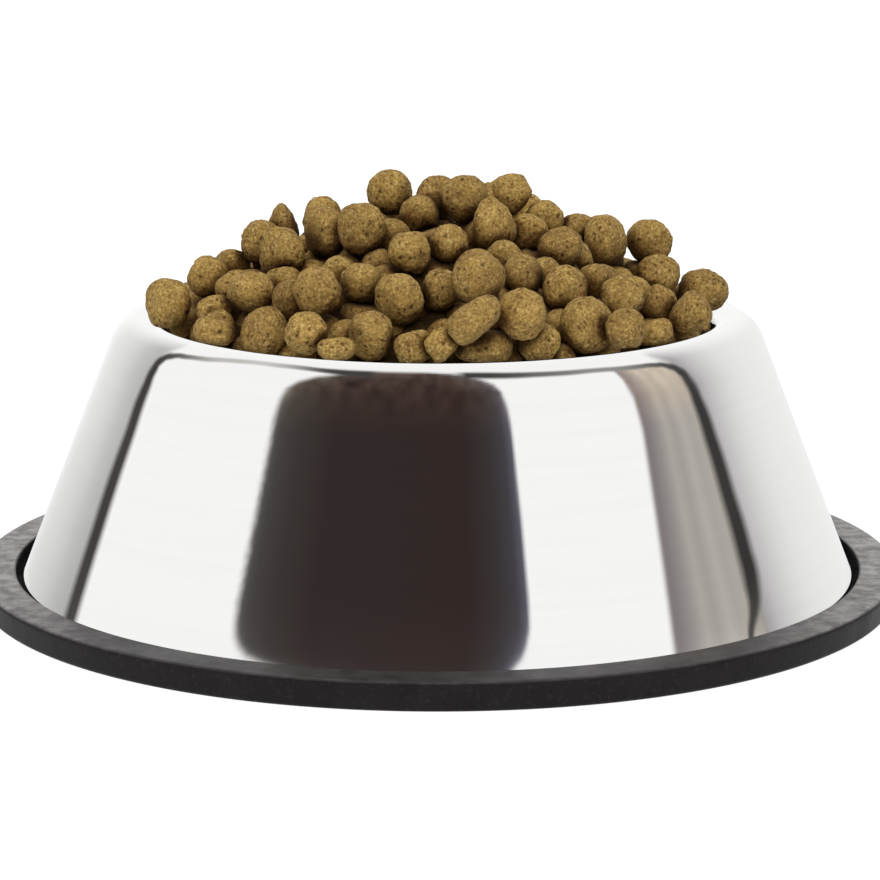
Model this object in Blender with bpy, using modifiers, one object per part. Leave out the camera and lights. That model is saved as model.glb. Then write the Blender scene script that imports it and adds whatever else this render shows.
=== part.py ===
"""A flared, non-tip stainless steel pet bowl on a black rubber ring, heaped with dry food.

Metres, +Z up. The origin is the centre of the rubber ring's underside.
The bowl is one drawn sheet: dish, rolled rim, flared skirt and foot flange.
The ring grips the foot flange in a slot. Pieces of dry food lie on a bed of the same food.
"""

import math
import random

import bmesh
import bpy
from mathutils import Matrix, Vector
from mathutils.bvhtree import BVHTree

# Gap left between pieces that touch
FIT = 0.0003

# Steel bowl, outer face of the sheet
SHEET = 0.0006
BOWL_HEIGHT = 0.0652
RIM_OUTSIDE = 0.008
RIM_INSIDE = 0.0045
FLARE = math.radians(21.4)
SKIRT_FOOT_RADIUS = 0.098
FOOT_BEND = 0.0015
FLANGE_WIDTH = 0.0055
DISH_DRAFT = math.radians(8.0)
DISH_FILLET = 0.020
DISH_FLOOR = 0.0076

# Rubber ring: the pad under the flange, the wall round it and the lip over it
PAD = 0.003
PAD_WIDTH = 0.0085
RING_WALL = 0.0045
RING_SWELL = 0.0004
RING_EDGE = 0.0011
LIP = 0.0022
LIP_GAP = 0.0021

# Dry food: one piece, and the heap's surface through the middle of its outer pieces
KIBBLE_DIAMETER = 0.0114
KIBBLE_THICKNESS = 0.0080
HEAP_RISE = 0.0245
HEAP_SHAPE = 1.7
HEAP_EDGE = 0.0025
BED_DEPTH = 0.0062
BITE = 0.002

# The laid-out front ends this far behind the bowl's axis, where the courses of the back begin
BACK_START = 0.009

# Point from which the front of the heap is laid out, in front of and above the rim's centre
EYE_DISTANCE = 0.70
EYE_RISE = 0.115

# Facets round the turned pieces, the bed and one piece of food
ROUND = 48
BED_ROUND = 24
KIBBLE_ROUND = 9
KIBBLE_BANDS = 4
FUSED_ROUND = 8
FUSED_BANDS = 3

# Step of the search that seats a piece of food, and how far it may slide towards the eye
STEP = 0.0005
SLIDE_STEPS = 18

# How far inside the rim's crest the middle of a laid-out piece stays
RIM_CLEAR = 0.0036

# Rounds of working the laid-out pieces apart, and the share of each push that goes sideways
RELAX_ROUNDS = 150
SIDEWAYS = 0.35

FLANGE_TOP = PAD + FIT + SHEET
FLANGE_RADIUS = SKIRT_FOOT_RADIUS + FLANGE_WIDTH
RIM_RADIUS = (
    SKIRT_FOOT_RADIUS
    - (BOWL_HEIGHT - RIM_OUTSIDE - FLANGE_TOP) * math.tan(FLARE)
    - RIM_OUTSIDE / math.cos(FLARE)
)
HEAP_RADIUS = RIM_RADIUS - HEAP_EDGE
EYE = Vector((0.0, -EYE_DISTANCE, BOWL_HEIGHT + EYE_RISE))

# The front of the heap, back pieces first. Across and up are where a piece shows in the upright
# plane through the bowl's axis, in percent of the rim's radius and of the heap's rise.
# Length and breadth are the outline that it shows, in percent of a piece's diameter,
# and lean is its length's slope in degrees.
HIDDEN_PIECES = [
    (-84, 1, 75, 68, 90),
    (-31, -11, 72, 61, 90),
    (-37, -33, 72, 64, 0),
]
CREST_PIECES = [
    (0, 110, 90, 86, 0),
    (-6, 92, 84, 84, 0),
    (31, 74, 83, 83, 0),
    (48, 72, 89, 85, 90),
    (-53, 85, 87, 67, 90),
    (-39, 96, 75, 67, 0),
    (-16, 114, 98, 94, 90),
    (9, 107, 100, 96, 60),
    (25, 112, 92, 90, 90),
    (37, 87, 83, 83, 0),
]
SHADED_PIECES = [
    (-70, 42, 73, 66, 90),
    (-98, -5, 77, 58, 90),
    (-50, 11, 85, 74, 90),
    (-34, 36, 74, 67, 90),
    (-76, -1, 75, 67, 0),
    (55, 23, 85, 74, 90),
    (18, -1, 80, 80, 0),
]
UPPER_PIECES = [
    (75, 34, 93, 81, 0),
    (72, 67, 99, 91, 90),
    (-60, 67, 96, 86, 80),
    (-78, 32, 89, 89, 20),
    (-92, 8, 101, 79, 85),
    (-63, 18, 91, 80, -20),
    (-53, 54, 110, 89, 85),
    (-38, 72, 107, 80, 98),
    (-26, 78, 108, 89, 100),
    (42, 60, 93, 79, 20),
    (4, 64, 78, 78, 0),
    (57, 62, 116, 81, 95),
    (19, 83, 110, 86, 95),
    (-9, 54, 87, 87, 120),
    (90, 18, 105, 85, -8),
]
MIDDLE_PIECES = [
    (29, 35, 85, 74, 100),
    (1, 21, 82, 69, 80),
    (63, 12, 91, 89, 0),
    (44, 21, 100, 85, 95),
    (14, 30, 99, 95, 70),
    (-26, 27, 84, 77, 0),
    (-41, 20, 97, 85, 100),
    (-13, 12, 105, 85, 95),
    (77, -3, 82, 80, 0),
    (93, -20, 88, 73, 38),
    (51, -14, 109, 94, 100),
]
RIM_PIECES = [
    (35, -33, 79, 72, 60),
    (15, -39, 107, 61, 0),
    (29, -8, 96, 90, 0),
    (12, -17, 112, 64, 38),
    (76, -37, 73, 51, 10),
    (65, -30, 80, 76, 20),
    (-59, -20, 98, 84, 80),
    (-76, -26, 83, 77, 20),
    (-45, -28, 79, 77, 0),
    (-23, -24, 97, 82, 100),
    (-8, -36, 75, 64, 20),
    (3, -30, 61, 54, 60),
    (-89, -27, 82, 48, -10),
    (-35, -49, 71, 43, 0),
]


def clear_scene():
    for old in list(bpy.data.objects):
        bpy.data.objects.remove(old, do_unlink=True)


def collection(name):
    made = bpy.data.collections.new(name)
    bpy.context.scene.collection.children.link(made)
    return made


def material(name, colour, roughness, metallic):
    made = bpy.data.materials.new(name)
    made.use_nodes = True
    made.diffuse_color = (*colour, 1.0)
    shader = made.node_tree.nodes["Principled BSDF"]
    shader.inputs["Base Color"].default_value = (*colour, 1.0)
    shader.inputs["Roughness"].default_value = roughness
    shader.inputs["Metallic"].default_value = metallic
    return made


def arc(centre, radius, start, end, steps):
    """Points round a centre in the radius and height plane, from one angle to another."""
    points = []
    for i in range(steps + 1):
        angle = start + (end - start) * i / steps
        points.append((centre[0] + radius * math.cos(angle), centre[1] + radius * math.sin(angle)))
    return points


def turned(name, profile, rounds, closed, group, finish):
    """A profile of radius and height points, turned about the bowl's axis."""
    mesh = bpy.data.meshes.new(name)
    edges = [(i, i + 1) for i in range(len(profile) - 1)]
    if closed:
        edges.append((len(profile) - 1, 0))
    mesh.from_pydata([(r, 0.0, z) for r, z in profile], edges, [])
    mesh.materials.append(finish)
    made = bpy.data.objects.new(name, mesh)
    group.objects.link(made)
    screw = made.modifiers.new("turn", "SCREW")
    screw.axis = "Z"
    screw.angle = 2 * math.pi
    screw.steps = rounds
    screw.render_steps = rounds
    screw.use_merge_vertices = True
    screw.merge_threshold = 0.00001
    screw.use_smooth_shade = True
    return made


def dish_profile(gap):
    """The dish's upper face, moved off it by a gap: floor, fillet and drafted wall up to the rim."""
    rim = RIM_INSIDE + gap
    fillet = DISH_FILLET - gap
    floor = DISH_FLOOR + gap
    wall_radius = RIM_RADIUS - rim * math.cos(DISH_DRAFT)
    wall_height = BOWL_HEIGHT - RIM_INSIDE + rim * math.sin(DISH_DRAFT) - floor - fillet
    centre = wall_radius - (fillet + wall_height * math.sin(DISH_DRAFT)) / math.cos(DISH_DRAFT)
    return [(0.0, floor)] + arc((centre, floor + fillet), fillet, -math.pi / 2, -DISH_DRAFT, 3)


def rim_inside(gap):
    """The rim's inner side, moved off it by a gap, from the dish's wall up to the crest."""
    centre = (RIM_RADIUS, BOWL_HEIGHT - RIM_INSIDE)
    return arc(centre, RIM_INSIDE + gap, math.pi - DISH_DRAFT, math.pi / 2, 4)


def steel_bowl(group, finish):
    profile = dish_profile(0.0) + rim_inside(0.0)
    outside_centre = (RIM_RADIUS, BOWL_HEIGHT - RIM_OUTSIDE)
    profile += arc(outside_centre, RIM_OUTSIDE, math.pi / 2, FLARE, 4)[1:]
    bend_z = FLANGE_TOP + FOOT_BEND
    bend_radius = SKIRT_FOOT_RADIUS - FOOT_BEND * math.tan(FLARE) + FOOT_BEND / math.cos(FLARE)
    profile += arc((bend_radius, bend_z), FOOT_BEND, math.pi + FLARE, 1.5 * math.pi, 2)
    profile.append((FLANGE_RADIUS, FLANGE_TOP))
    bowl = turned("steel_bowl", profile, ROUND, False, group, finish)
    sheet = bowl.modifiers.new("sheet", "SOLIDIFY")
    sheet.thickness = SHEET
    sheet.offset = -1.0
    sheet.use_even_offset = True
    return bowl


def rubber_ring(group, finish):
    slot_radius = FLANGE_RADIUS + FIT
    slot_top = FLANGE_TOP + FIT
    ring_radius = FLANGE_RADIUS + RING_WALL
    ring_height = slot_top + LIP
    pad_radius = FLANGE_RADIUS - PAD_WIDTH
    lip_radius = SKIRT_FOOT_RADIUS + LIP_GAP
    foot_centre = (ring_radius - RING_EDGE, RING_EDGE)
    shoulder_centre = (ring_radius + RING_SWELL - RING_EDGE, ring_height - RING_EDGE)
    profile = [(lip_radius, ring_height)]
    profile += arc(shoulder_centre, RING_EDGE, math.pi / 2, 0.0, 3)
    profile += arc(foot_centre, RING_EDGE, 0.0, -math.pi / 2, 2)
    profile += [
        (pad_radius, 0.0),
        (pad_radius, PAD),
        (slot_radius, PAD),
        (slot_radius, slot_top),
        (lip_radius, slot_top),
    ]
    return turned("rubber_ring", profile, ROUND, True, group, finish)


def heap_height(radius):
    """Height of the heap's surface, through the middle of its outer pieces."""
    share = min(radius / HEAP_RADIUS, 1.0)
    return BOWL_HEIGHT + HEAP_RISE * (1.0 - share**HEAP_SHAPE)


def bed_core(group, finish):
    """The food in the dish and under the heap's outer pieces, clear of the dish by the fit."""
    below = dish_profile(FIT) + rim_inside(FIT)[:1]
    edge = below[-1]
    crown = []
    rings = 7
    for i in range(rings):
        radius = edge[0] * i / rings
        crown.append((radius, heap_height(radius) - BED_DEPTH))
    profile = crown + below[::-1]
    return turned("kibble_bed", profile, BED_ROUND, False, group, finish)


def kibble_mesh(name, length, thickness, facets, draw):
    """A convex pillow, slightly uneven: a flattened round body with full shoulders."""
    work = bmesh.new()
    bmesh.ops.create_uvsphere(work, u_segments=facets[0], v_segments=facets[1], radius=1.0)
    for corner in work.verts:
        flat = math.hypot(corner.co.x, corner.co.y)
        swell = draw.uniform(0.96, 1.04)
        if flat > 0.01:
            swell *= flat**0.5 / flat
        corner.co.x *= swell * length / 2
        corner.co.y *= swell * length / 2
        corner.co.z = math.copysign(abs(corner.co.z) ** 0.75, corner.co.z) * thickness / 2
    bmesh.ops.delete(work, geom=list(work.edges) + list(work.faces), context="EDGES_FACES")
    bmesh.ops.convex_hull(work, input=work.verts)
    loose = [corner for corner in work.verts if not corner.link_faces]
    bmesh.ops.delete(work, geom=loose, context="VERTS")
    bmesh.ops.recalc_face_normals(work, faces=work.faces)
    mesh = bpy.data.meshes.new(name)
    work.to_mesh(mesh)
    work.free()
    return mesh


def kibble(name, length, thickness, turn, facets, draw, group, finish):
    mesh = kibble_mesh(name, length, thickness, facets, draw)
    mesh.materials.append(finish)
    made = bpy.data.objects.new(name, mesh)
    made.rotation_mode = "QUATERNION"
    made.rotation_quaternion = turn.to_quaternion()
    group.objects.link(made)
    return made


def surface_tree(points, faces):
    return BVHTree.FromPolygons(points, faces)


def evaluated_tree(obj):
    """The surface of an object with its modifiers."""
    return BVHTree.FromObject(obj, bpy.context.evaluated_depsgraph_get())


class Piece:
    """One piece of food and its surface grown by the fit, which tests where it may lie."""

    def __init__(self, obj, length, thickness):
        self.obj = obj
        self.length = length
        self.thickness = thickness
        turn = obj.rotation_quaternion.to_matrix()
        self.normal = turn.col[2].copy()
        self.faces = [tuple(face.vertices) for face in obj.data.polygons]
        self.points = [turn @ corner.co for corner in obj.data.vertices]
        self.grown = [point + point.normalized() * FIT * 1.15 for point in self.points]
        self.place = Vector((0.0, 0.0, 0.0))

    def tree(self):
        return surface_tree([self.place + point for point in self.points], self.faces)

    def reach(self, direction):
        """Half of the piece's extent along a unit direction."""
        flat = self.normal.dot(direction) ** 2
        return math.sqrt(self.length**2 * (1.0 - flat) + self.thickness**2 * flat) / 2

    def is_free(self, place, bodies, pieces):
        tree = surface_tree([place + point for point in self.grown], self.faces)
        for body in bodies:
            if tree.overlap(body):
                return False
        for other, other_tree in pieces:
            near = (other.place - place).length < (self.length + other.length) * 0.55
            if near and tree.overlap(other_tree):
                return False
        return True

    def press(self, start, direction, limit, bodies, pieces):
        """Where a free piece is stopped as it moves along a direction, or None if nothing stops it."""
        travelled = 0.0
        while travelled < limit:
            if not self.is_free(start + direction * (travelled + STEP), bodies, pieces):
                step = STEP / 2
                for _ in range(4):
                    if self.is_free(start + direction * (travelled + step), bodies, pieces):
                        travelled += step
                    step /= 2
                return start + direction * travelled
            travelled += STEP
        return None

    def put(self, place):
        self.place = place
        self.obj.location = place


def sight(across, up):
    """The line from the eye through a point of the upright plane, given in percent."""
    aim = Vector((across / 100 * RIM_RADIUS, 0.0, BOWL_HEIGHT + up / 100 * HEAP_RISE))
    return (aim - EYE).normalized()


def heap_point(direction):
    """Where a sight line meets the heap's surface, or passes nearest over it."""
    best = None
    best_rise = None
    y = -HEAP_RADIUS
    while y < HEAP_RADIUS / 4:
        point = EYE + direction * ((y - EYE.y) / direction.y)
        rise = point.z - heap_height(math.hypot(point.x, point.y))
        if best is None or rise < best_rise:
            best = point
            best_rise = rise
        if rise <= 0.0:
            return point
        y += STEP
    return best


def facing(direction, point, lean, length, breadth, thickness):
    """Turn of a disc that shows this length, breadth and lean to the eye."""
    right = direction.cross(Vector((0.0, 0.0, 1.0))).normalized()
    above = right.cross(direction)
    along = right * math.cos(lean) + above * math.sin(lean)
    beside = above * math.cos(lean) - right * math.sin(lean)
    outward = Vector((point.x, point.y, HEAP_RADIUS))
    if beside.dot(outward) < 0:
        beside.negate()
    spread = max(length**2 - thickness**2, 1e-9)
    towards = math.sqrt(min(max((breadth**2 - thickness**2) / spread, 0.0), 1.0))
    normal = beside * math.sqrt(1.0 - towards**2) - direction * towards
    across = normal.cross(along)
    return Matrix((along, across, normal)).transposed()


def front_piece(name, row, facets, draw, group, finish):
    across, up, long_share, broad_share, lean = row
    length = long_share / 100 * KIBBLE_DIAMETER
    breadth = broad_share / 100 * KIBBLE_DIAMETER
    thickness = min(KIBBLE_THICKNESS, breadth)
    direction = sight(across, up)
    point = heap_point(direction)
    turn = facing(direction, point, math.radians(lean), length, breadth, thickness)
    made = kibble(name, length, thickness, turn, facets, draw, group, finish)
    piece = Piece(made, length, thickness)
    piece.put(point)
    piece.aim = point
    piece.sight = direction
    return piece


def part_pair(near, far):
    """Works two pieces apart: the near one towards the eye, the far one away, both a little sideways."""
    gap = far.place - near.place
    direction = gap.normalized()
    overlap = near.reach(direction) + far.reach(direction) + FIT - gap.length
    if overlap <= 0.0:
        return
    aside = (direction - near.sight * direction.dot(near.sight)) * overlap * SIDEWAYS
    near.place = near.place - near.sight * overlap / 2 - aside
    far.place = far.place + far.sight * overlap / 2 + aside


def hold_off(piece):
    """Keeps a piece off the bed and off the rim's roll."""
    place = piece.place
    radius = math.hypot(place.x, place.y)
    outward = Vector((place.x / radius, place.y / radius, 1.0)).normalized()
    depth = heap_height(radius) - BED_DEPTH + piece.reach(outward) - place.z
    if depth > 0.0:
        piece.place = place - piece.sight * depth
    beyond = math.hypot(piece.place.x, piece.place.y) - RIM_RADIUS + RIM_CLEAR
    if beyond > 0.0:
        piece.place = piece.place - Vector((piece.place.x, piece.place.y, 0.0)).normalized() * beyond
    inward = RIM_RADIUS - math.hypot(piece.place.x, piece.place.y)
    above = piece.place.z - BOWL_HEIGHT + RIM_INSIDE
    short = RIM_INSIDE + FIT + piece.reach(Vector((0.0, 0.0, 1.0))) - math.hypot(inward, above)
    if short > 0.0:
        piece.place = piece.place + Vector((0.0, 0.0, short))


def relax(pieces):
    """Spreads the laid-out pieces in depth, so that each stays where it shows."""
    for _ in range(RELAX_ROUNDS):
        for i, near in enumerate(pieces):
            for far in pieces[:i]:
                part_pair(near, far)
        for piece in pieces:
            line = piece.aim + piece.sight * (piece.place - piece.aim).dot(piece.sight)
            piece.place = piece.place.lerp(line, 0.25)
            hold_off(piece)


def nearest_free(piece, bodies, pieces):
    """The nearest free place, in steps towards the eye, or aside and upwards, which count double."""
    across = piece.sight.cross(Vector((0.0, 0.0, 1.0))).normalized()
    cost = 0
    while True:
        for sideways in range(cost // 2 + 1):
            slide = cost - 2 * sideways
            for lift in range(sideways + 1 if slide <= SLIDE_STEPS else 0):
                for side in {sideways - lift, lift - sideways}:
                    move = across * side - piece.sight * slide + Vector((0.0, 0.0, lift))
                    if piece.is_free(piece.place + move * STEP, bodies, pieces):
                        return piece.place + move * STEP
        cost += 1


def seat(piece, bodies, pieces):
    """Lays a piece on what carries it: along the sight line, or straight down behind the crest."""
    start = nearest_free(piece, bodies, pieces)
    held = piece.press(start, piece.sight, KIBBLE_DIAMETER, bodies, pieces)
    if held is None:
        held = piece.press(start, Vector((0.0, 0.0, -1.0)), BOWL_HEIGHT, bodies, pieces)
    piece.put(held)


def on_heap(reach, angle):
    """A place on the heap's surface, sunk by the bite."""
    height = heap_height(reach) - BED_DEPTH + KIBBLE_THICKNESS / 2 - BITE
    return Vector((reach * math.cos(angle), reach * math.sin(angle), height))


def back_pieces(bowl_tree, draw, group, finish):
    """Courses of pieces round the back of the heap, the lowest one against the rim."""
    pitch = KIBBLE_DIAMETER * 0.97
    radius = HEAP_RADIUS - KIBBLE_DIAMETER * 0.45
    course = 0
    while radius > BACK_START:
        side = math.asin(BACK_START / radius)
        sweep = math.pi - 2 * side
        count = max(round(sweep * radius / pitch), 1)
        for i in range(count):
            angle = side + sweep * (i + 0.5 + draw.uniform(-0.12, 0.12)) / count
            reach = radius + draw.uniform(-0.08, 0.08) * pitch
            spin = Matrix.Rotation(draw.uniform(0, 2 * math.pi), 3, "Z")
            tip = Matrix.Rotation(draw.uniform(0.0, 1.1), 3, "X")
            turn = Matrix.Rotation(draw.uniform(0, 2 * math.pi), 3, "Z") @ tip @ spin
            length = KIBBLE_DIAMETER * draw.uniform(0.9, 1.08)
            facets = (FUSED_ROUND, FUSED_BANDS)
            name = f"back_{course}_{i}"
            made = kibble(name, length, KIBBLE_THICKNESS, turn, facets, draw, group, finish)
            piece = Piece(made, length, KIBBLE_THICKNESS)
            while not piece.is_free(on_heap(reach, angle), [bowl_tree], []):
                reach -= STEP
            piece.put(on_heap(reach, angle))
        radius -= pitch * 0.9
        course += 1


def join_to_bed(bed, fused):
    """Unites the pieces that the bed carries with it, as one solid."""
    for piece in fused.objects:
        piece.hide_render = True
        piece.display_type = "WIRE"
    union = bed.modifiers.new("pieces", "BOOLEAN")
    union.operation = "UNION"
    union.operand_type = "COLLECTION"
    union.collection = fused
    union.solver = "EXACT"


def main():
    clear_scene()
    parts = collection("pet_bowl_of_dry_food")
    fused = collection("pieces_of_the_bed")
    steel = material("polished_steel", (0.8, 0.79, 0.78), 0.12, 1.0)
    rubber = material("black_rubber", (0.035, 0.032, 0.033), 0.7, 0.0)
    food = material("dry_food", (0.27, 0.18, 0.07), 0.85, 0.0)
    draw = random.Random(7)

    bowl = steel_bowl(parts, steel)
    rubber_ring(parts, rubber)
    bed = bed_core(parts, food)
    bpy.context.view_layer.update()
    bowl_tree = evaluated_tree(bowl)
    back_pieces(bowl_tree, draw, fused, food)
    core_tree = evaluated_tree(bed)
    facets = (FUSED_ROUND, FUSED_BANDS)
    for i, row in enumerate(HIDDEN_PIECES):
        piece = front_piece(f"hidden_{i}", row, facets, draw, fused, food)
        seat(piece, [bowl_tree, core_tree], [])
        piece.put(piece.place + piece.sight * BITE)
    join_to_bed(bed, fused)
    bpy.context.view_layer.update()

    bodies = [bowl_tree, evaluated_tree(bed)]
    rows = CREST_PIECES + SHADED_PIECES + UPPER_PIECES + MIDDLE_PIECES + RIM_PIECES
    facets = (KIBBLE_ROUND, KIBBLE_BANDS)
    front = []
    for i, row in enumerate(rows):
        front.append(front_piece(f"kibble_{i + 1:02d}", row, facets, draw, parts, food))
    relax(front)
    laid = []
    for piece in front:
        seat(piece, bodies, laid)
        laid.append((piece, piece.tree()))


main()
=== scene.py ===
"""The looks of a stainless steel pet bowl heaped with dry food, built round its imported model.

Metres, +Z up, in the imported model's frame. The photograph shows the side that faces -Y.
"""

import math
import random

import bmesh
import bpy
import numpy as np
from mathutils import Matrix, Vector, noise
from mathutils.bvhtree import BVHTree

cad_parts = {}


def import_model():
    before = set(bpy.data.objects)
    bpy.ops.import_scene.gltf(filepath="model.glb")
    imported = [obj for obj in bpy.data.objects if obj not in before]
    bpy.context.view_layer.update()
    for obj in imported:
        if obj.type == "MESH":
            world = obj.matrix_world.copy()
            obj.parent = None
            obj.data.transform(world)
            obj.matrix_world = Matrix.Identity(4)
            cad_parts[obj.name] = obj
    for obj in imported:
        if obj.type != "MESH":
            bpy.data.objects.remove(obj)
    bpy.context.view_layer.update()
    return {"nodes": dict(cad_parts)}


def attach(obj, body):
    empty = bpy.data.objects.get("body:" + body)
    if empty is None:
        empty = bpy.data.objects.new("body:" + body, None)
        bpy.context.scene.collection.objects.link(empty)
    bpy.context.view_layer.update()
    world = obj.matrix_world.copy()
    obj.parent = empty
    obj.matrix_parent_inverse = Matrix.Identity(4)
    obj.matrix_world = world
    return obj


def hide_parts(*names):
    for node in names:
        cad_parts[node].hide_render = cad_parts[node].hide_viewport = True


BODY = "root"

# Camera: its place, how far below level it looks, its lens and the picture's sideways shift
CAMERA_PLACE = (0.0, -0.700, 0.1802)
CAMERA_PITCH = 0.2055
SENSOR = 36.0
LENS = 123.8
CAMERA_SHIFT = 0.0028

# Steel bowl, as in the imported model
SHEET = 0.0006
BOWL_HEIGHT = 0.0652
RIM_OUTSIDE = 0.008
RIM_INSIDE = 0.0045
FLARE = math.radians(21.4)
SKIRT_FOOT_RADIUS = 0.098
FOOT_BEND = 0.0015
FLANGE_RADIUS = 0.1035
DISH_DRAFT = math.radians(8.0)
DISH_FILLET = 0.020
DISH_FLOOR = 0.0076

# Rubber ring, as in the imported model
FIT = 0.0003
PAD = 0.003
RING_RADIUS = 0.108
RING_SWELL = 0.0004
RING_HEIGHT = 0.0064
RING_EDGE = 0.0011
RING_CORNER = 0.0004
PAD_INNER_RADIUS = 0.095

# Where the ring's lip starts in the photograph, and the rubber web in the groove between the lip
# and the bowl's foot, a sheet put there as painted shade of the groove: its inner radius and its
# thickness
SHOWN_LIP_RADIUS = 0.0995
WEB_RADIUS = 0.0977
WEB = 0.0005

# How far to the side the ring's top starts to get its painted sheen and dust, and where that is
# strongest
SHEEN_AND_DUST_FROM = (0.068, 0.102)

# Dry food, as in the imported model
KIBBLE_DIAMETER = 0.0114
KIBBLE_THICKNESS = 0.0080
HEAP_RISE = 0.0245
HEAP_SHAPE = 1.7
HEAP_EDGE = 0.0025
BED_DEPTH = 0.0062
BITE = 0.002
BACK_START = 0.009
STEP = 0.0005
FUSED_CORNERS = 18
COURSE_PITCH = 0.97
COURSE_STEP = 0.9
COURSE_EDGE = 0.45
COURSE_DRIFT = 0.12
COURSE_WANDER = 0.08
COURSE_TIP = 1.1
COURSE_LENGTHS = (0.9, 1.08)

# Steps round the turned pieces, and a short step that keeps a bend's shading off the straight side
ROUND = 288
NUDGE = 0.00004

# Cuts along a side of the nets of a loose piece, a fused piece and a piece's plain test body
LOOSE_CUTS = 25
FUSED_CUTS = 12
TEST_CUTS = 3

# Shape of a piece of food: fullness of its shoulders, how egg-shaped it is, and its dents
FULLNESS = (2.3, 3.3)
EGG = 0.13
DENTS = 4
DENT_DEPTH = (0.02, 0.10)
DENT_TILT = 0.9
DENT_PRESS = 0.85

# Surface of a piece of food: its lumps, grain and holes
LUMP_SIZE = 0.0052
LUMP_HEIGHT = 0.00034
KNOB_SIZE = 0.0019
KNOB_HEIGHT = 0.00022
GRAIN_SIZE = 0.00085
GRAIN_HEIGHT = 0.00017
HOLE_SPACING = 0.0026
HOLE_REACH = 0.26
HOLE_DEPTH = 0.00040

# Loose pieces with a narrow end: its direction in the picture, in degrees from the right,
# and how much narrower it is
NARROW_ENDS = {
    "kibble_05": (90, 0.50),
    "kibble_08": (-85, 0.24),
    "kibble_22": (120, 0.12),
    "kibble_24": (115, 0.12),
    "kibble_29": (245, 0.18),
    "kibble_30": (100, 0.26),
    "kibble_31": (-55, 0.22),
    "kibble_32": (235, 0.16),
    "kibble_41": (105, 0.18),
    "kibble_42": (215, 0.26),
    "kibble_47": (40, 0.16),
    "kibble_50": (65, 0.20),
    "kibble_51": (60, 0.26),
}

# How far round a piece its neighbours shade it, in diameters
SHADE_REACH = 1.7

# How much painted shade darkens a piece where it touches another, and how far from there that
# reaches
TOUCH_SHADE = 0.92
TOUCH_REACH = 0.0011

# Pieces that fill the bed's bare front: how many places are tried, how near the rim and each
# other they lie, how deep they sink, how far they tip, their lengths and thickness, and how
# much of a piece's size must fit between the others
FILL_PLACES = 900
FILL_EDGE = 0.4
FILL_APART = 0.72
FILL_SINK = (0.0022, 0.0070)
FILL_TIP = 1.3
FILL_LENGTHS = (0.78, 1.0)
FILL_THICKNESS = 0.95
FILL_SHARE = 0.80

# Pieces that lie on the back courses, behind gaps between the front ones: how far they tip, and
# the middle of each
PROP_TIP = 1.5
PROPS = (
    (0.0118, 0.0100, 0.0883),
    (0.0203, 0.0105, 0.0862),
    (-0.0105, 0.0180, 0.0850),
)

# Bed: its rings and steps round, and the size and height of the lumps on its crown
BED_RINGS = 60
BED_ROUND = 160
BED_LUMP = 0.0085
BED_LUMP_HEIGHT = 0.0022
BED_EDGE = 0.12
BED_FOOT = 0.6

# Studio: light on the object, and how the floor shows
SKY_FILL = 0.46
FLOOR_GLOW = 0.90
FLOOR_SHARE = 0.30
FLOOR_LIT = 0.8
FLOOR_SPAN = 24.0
FLOOR_DROP = 0.0001

# Lamps: where they point, and the place, size and power of each
LIT_PLACE = (0.0, 0.0, 0.06)
KEY_PLACE = (-0.18, -1.15, 0.95)
KEY_SIZE = 0.7
KEY_POWER = 13.1
TOP_PLACE = (0.35, -0.25, 1.3)
TOP_SIZE = 0.8
TOP_POWER = 5.0

# Cards that the steel mirrors: their distance, and the width of a degree round the bowl's side
CARD_DISTANCE = 3.0
FRAME_DISTANCE = CARD_DISTANCE * 0.97
WALL_DISTANCE = CARD_DISTANCE * 1.04
DEGREE = 0.00148
CARD_STEP = 0.0005

# Sizes of the coarse and fine noise that roughens a card's left edge and mottles its top
ROUGH_SIZE = 0.0011
ROUGH_FINE_SIZE = 0.0006
BLOTCH_SIZE = 0.0032
BLOTCH_FINE_SIZE = 0.0013

# Ribbons: their steps along and lines across, the length of the fading end, how far the card
# reaches to each side of its middle and fades there, in widths, and how warm its grey is
RIBBON_STEP = 0.0003
RIBBON_LINES = 13
RIBBON_END = 0.004
RIBBON_REACH = 0.8
RIBBON_SOFT = 0.5
RIBBON_WARMTH = 0.04

FLANGE_TOP = PAD + FIT + SHEET
RIM_RADIUS = (
    SKIRT_FOOT_RADIUS
    - (BOWL_HEIGHT - RIM_OUTSIDE - FLANGE_TOP) * math.tan(FLARE)
    - RIM_OUTSIDE / math.cos(FLARE)
)
HEAP_RADIUS = RIM_RADIUS - HEAP_EDGE
SKIRT_LENGTH = (BOWL_HEIGHT - RIM_OUTSIDE * (1 - math.sin(FLARE)) - FLANGE_TOP) / math.cos(FLARE)


def in_scene(name, data):
    made = bpy.data.objects.new(name, data)
    bpy.context.scene.collection.objects.link(made)
    return made


# Nodes of the materials


def new_material(name):
    made = bpy.data.materials.new(name)
    made.use_nodes = True
    return made, made.node_tree, made.node_tree.nodes["Principled BSDF"]


def add(tree, kind, **settings):
    node = tree.nodes.new("ShaderNode" + kind)
    for name, value in settings.items():
        setattr(node, name, value)
    return node


def bare_material(name):
    made = bpy.data.materials.new(name)
    made.use_nodes = True
    made.node_tree.nodes.clear()
    return made, made.node_tree


def seen_by(tree, *rays):
    """1 for the named kinds of ray, and 0 for the others."""
    path = add(tree, "LightPath")
    seen = path.outputs[rays[0]]
    for ray in rays[1:]:
        either = add(tree, "Math", operation="MAXIMUM")
        tree.links.new(seen, either.inputs[0])
        tree.links.new(path.outputs[ray], either.inputs[1])
        seen = either.outputs["Value"]
    return seen


def end_with(tree, end, share, first, second):
    """Ends a tree in a mix of two shaders."""
    mix = add(tree, "MixShader")
    out = add(tree, end)
    tree.links.new(share, mix.inputs["Fac"])
    tree.links.new(first, mix.inputs[1])
    tree.links.new(second, mix.inputs[2])
    tree.links.new(mix.outputs["Shader"], out.inputs["Surface"])


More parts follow.
